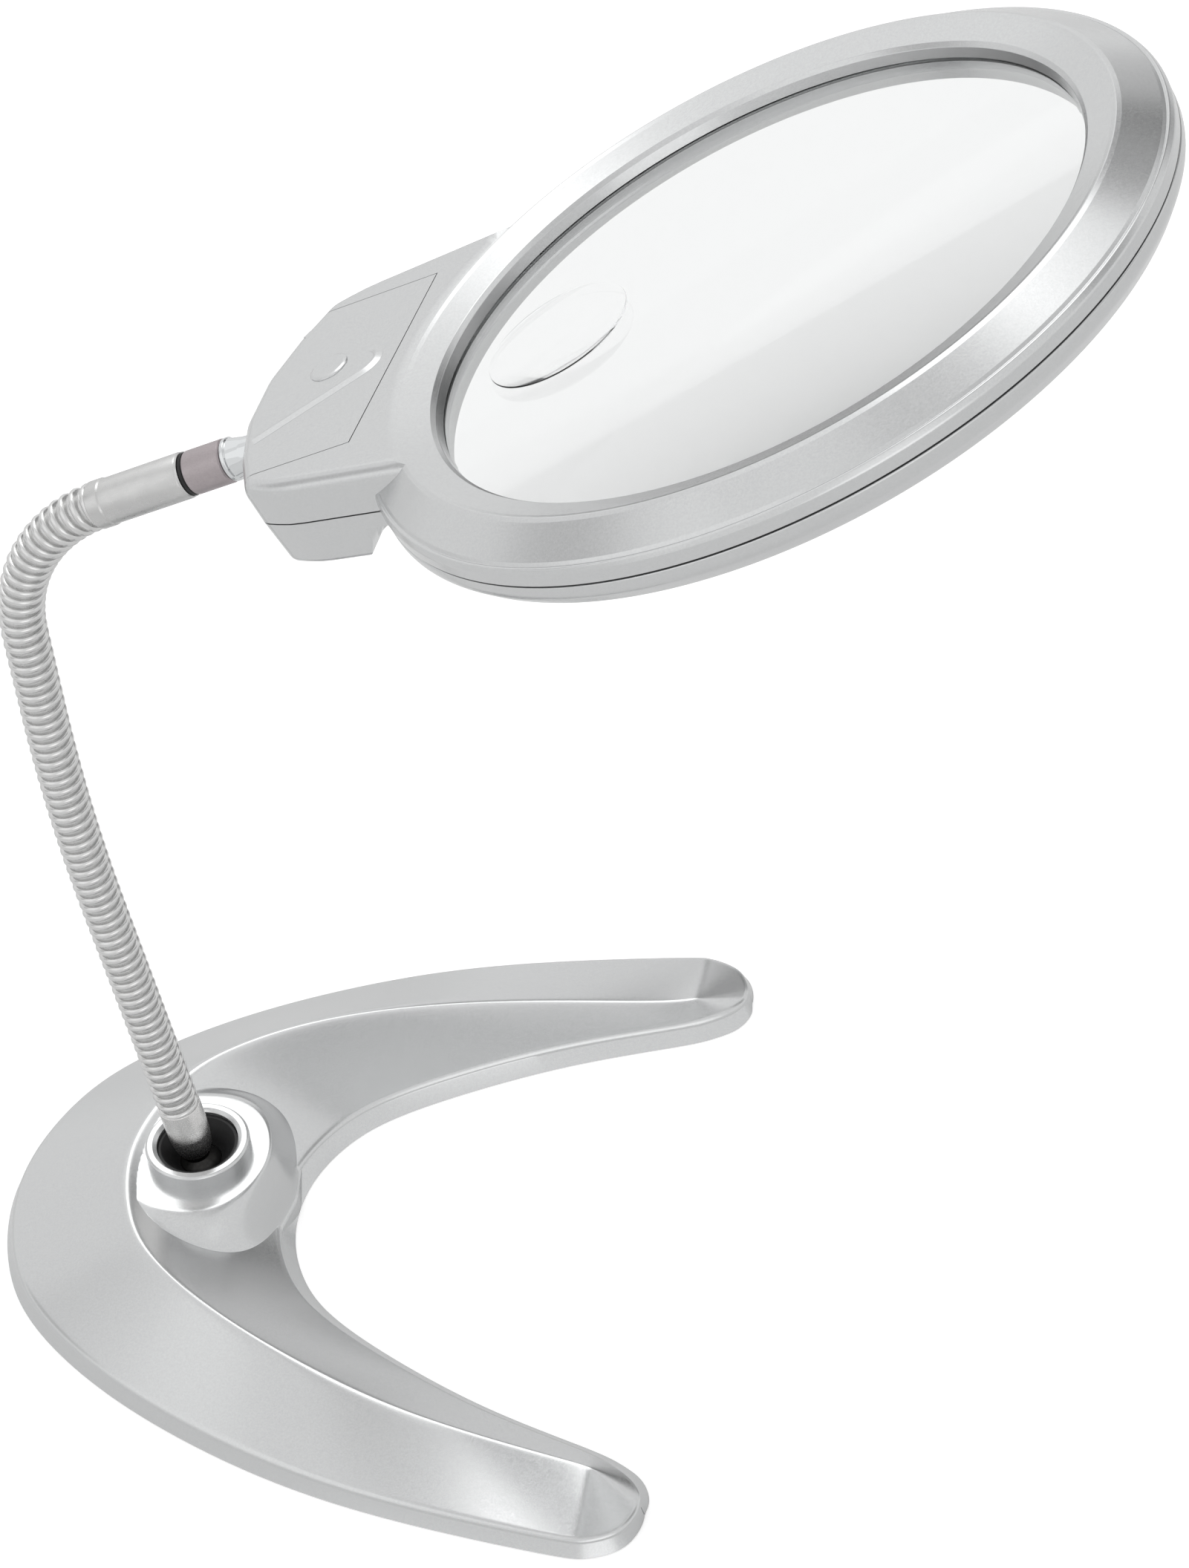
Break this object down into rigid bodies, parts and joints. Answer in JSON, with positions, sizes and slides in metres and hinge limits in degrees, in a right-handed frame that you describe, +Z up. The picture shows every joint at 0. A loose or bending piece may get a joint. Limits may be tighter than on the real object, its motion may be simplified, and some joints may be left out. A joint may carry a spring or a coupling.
{
  "type": "stand magnifier",
  "caption": "Magnifier with a large round lens in a ring head, on a wound gooseneck that pivots in a heavy crescent foot.",
  "frame": {"origin": "on the table under the middle of the neck socket", "axes": "+X from the neck socket towards the open side of the crescent foot and the lens, +Z up, Y across the mirror plane"},
  "size_m": [0.264, 0.1792, 0.2914],
  "materials": {
    "satin_shell": "satin silver paint on ABS",
    "dark_cover": "matt grey ABS",
    "steel_weight": "rough zinc-washed steel",
    "rubber_pad": "matt",
    "zinc_screw": "zinc plated",
    "black_socket": "matt black acetal",
    "nylon_seat": "natural nylon",
    "bright_steel": "bright plated",
    "satin_steel": "satin plated",
    "chrome_fitting": "mirror chrome",
    "neck_wire": "satin chrome",
    "neck_filler": "dark steel",
    "clear_lens": "polished clear acrylic",
    "cell_can": "plain wrapped can",
    "lamp_lens": "clear epoxy",
    "circuit_board": "glass epoxy"
  },
  "bodies": {
    "foot": {"base_shell": "satin_shell", "base_cover": "dark_cover", "base_weight": "steel_weight", "foot_pads": "rubber_pad", "cover_screws": "zinc_screw", "retainer_plate": "zinc_screw", "retainer_screws": "zinc_screw"},
    "socket": {"pivot_socket": "black_socket", "ball_seat": "nylon_seat"},
    "stem": {"ball_stud": "bright_steel"},
    "link_1": {"neck_core_1": "neck_filler", "neck_coil_1": "neck_wire"},
    "link_2": {"neck_core_2": "neck_filler", "neck_coil_2": "neck_wire"},
    "link_3": {"neck_core_3": "neck_filler", "neck_coil_3": "neck_wire"},
    "link_4": {"neck_core_4": "neck_filler", "neck_coil_4": "neck_wire"},
    "link_5": {"neck_core_5": "neck_filler", "neck_coil_5": "neck_wire"},
    "link_6": {"neck_core_6": "neck_filler", "neck_coil_6": "neck_wire"},
    "link_7": {"neck_core_7": "neck_filler", "neck_coil_7": "neck_wire"},
    "link_8": {"neck_core_8": "neck_filler", "neck_coil_8": "neck_wire"},
    "ferrule": {"upper_ferrule": "bright_steel", "swivel_washer": "black_socket"},
    "head": {"swivel_sleeve": "satin_steel", "cone_nut": "chrome_fitting", "stud_nut": "zinc_screw", "head_upper_shell": "satin_shell", "head_lower_shell": "satin_shell", "shell_screws": "zinc_screw", "main_lens": "clear_lens", "spot_lens": "clear_lens", "battery_1": "cell_can", "battery_2": "cell_can", "battery_3": "cell_can", "contact_springs": "bright_steel", "contact_plates": "bright_steel", "led_lamps": "lamp_lens", "led_boards": "circuit_board"},
    "door": {"battery_door": "satin_shell"},
    "switch": {"switch_slider": "black_socket"}
  },
  "joints": [
    {"name": "socket_turn", "type": "hinge", "parent": "foot", "child": "socket", "pos_m": [0, 0, 0.0115], "axis": [0, 0, 1], "range_deg": [-180, 180]},
    {"name": "stem_tilt", "type": "hinge", "parent": "socket", "child": "stem", "pos_m": [0, 0, 0.0115], "axis": [0, 1, 0], "range_deg": [-12, 25]},
    {"name": "neck_bend", "type": "hinge", "parent": "stem", "child": "link_1", "pos_m": [-0.00192, 0, 0.02839], "axis": [0, 1, 0], "range_deg": [-8, 8]},
    {"name": "neck_sway", "type": "hinge", "parent": "link_1", "child": "link_2", "pos_m": [-0.00451, 0, 0.0511], "axis": [0.9936, 0, 0.1132], "range_deg": [-8, 8]},
    {"name": "neck_bend_2", "type": "hinge", "parent": "link_2", "child": "link_3", "pos_m": [-0.0071, 0, 0.0738], "axis": [0, 1, 0], "range_deg": [-8, 8]},
    {"name": "neck_sway_2", "type": "hinge", "parent": "link_3", "child": "link_4", "pos_m": [-0.00966, 0, 0.09651], "axis": [0.9946, 0, 0.1041], "range_deg": [-8, 8]},
    {"name": "neck_bend_3", "type": "hinge", "parent": "link_4", "child": "link_5", "pos_m": [-0.01153, 0, 0.11929], "axis": [0, 1, 0], "range_deg": [-8, 8]},
    {"name": "neck_sway_3", "type": "hinge", "parent": "link_5", "child": "link_6", "pos_m": [-0.01234, 0, 0.14212], "axis": [0.9999, 0, 0.0129], "range_deg": [-8, 8]},
    {"name": "neck_bend_4", "type": "hinge", "parent": "link_6", "child": "link_7", "pos_m": [-0.01238, 0, 0.16497], "axis": [0, 1, 0], "range_deg": [-8, 8]},
    {"name": "neck_sway_4", "type": "hinge", "parent": "link_7", "child": "link_8", "pos_m": [-0.00736, 0, 0.18692], "axis": [0.8605, 0, -0.5095], "range_deg": [-8, 8]},
    {"name": "neck_bend_5", "type": "hinge", "parent": "link_8", "child": "ferrule", "pos_m": [0.00955, 0, 0.20172], "axis": [0, 1, 0], "range_deg": [-8, 8]},
    {"name": "head_swivel", "type": "hinge", "parent": "ferrule", "child": "head", "pos_m": [0.02888, 0, 0.20992], "axis": [0.9205, 0, 0.3907], "range_deg": [-90, 90]},
    {"name": "door_slide", "type": "slide", "parent": "head", "child": "door", "axis": [-0.9205, 0, -0.3907], "range_m": [0, 0.012]},
    {"name": "switch_slide", "type": "slide", "parent": "head", "child": "switch", "axis": [0, 1, 0], "range_m": [0, 0.004]}
  ],
  "couplings": [
    {"joint": "neck_bend_2", "follows": "neck_bend", "ratio": 1},
    {"joint": "neck_sway_2", "follows": "neck_sway", "ratio": 1},
    {"joint": "neck_bend_3", "follows": "neck_bend", "ratio": 1},
    {"joint": "neck_sway_3", "follows": "neck_sway", "ratio": 1},
    {"joint": "neck_bend_4", "follows": "neck_bend", "ratio": 1},
    {"joint": "neck_sway_4", "follows": "neck_sway", "ratio": 1},
    {"joint": "neck_bend_5", "follows": "neck_bend", "ratio": 1}
  ]
}
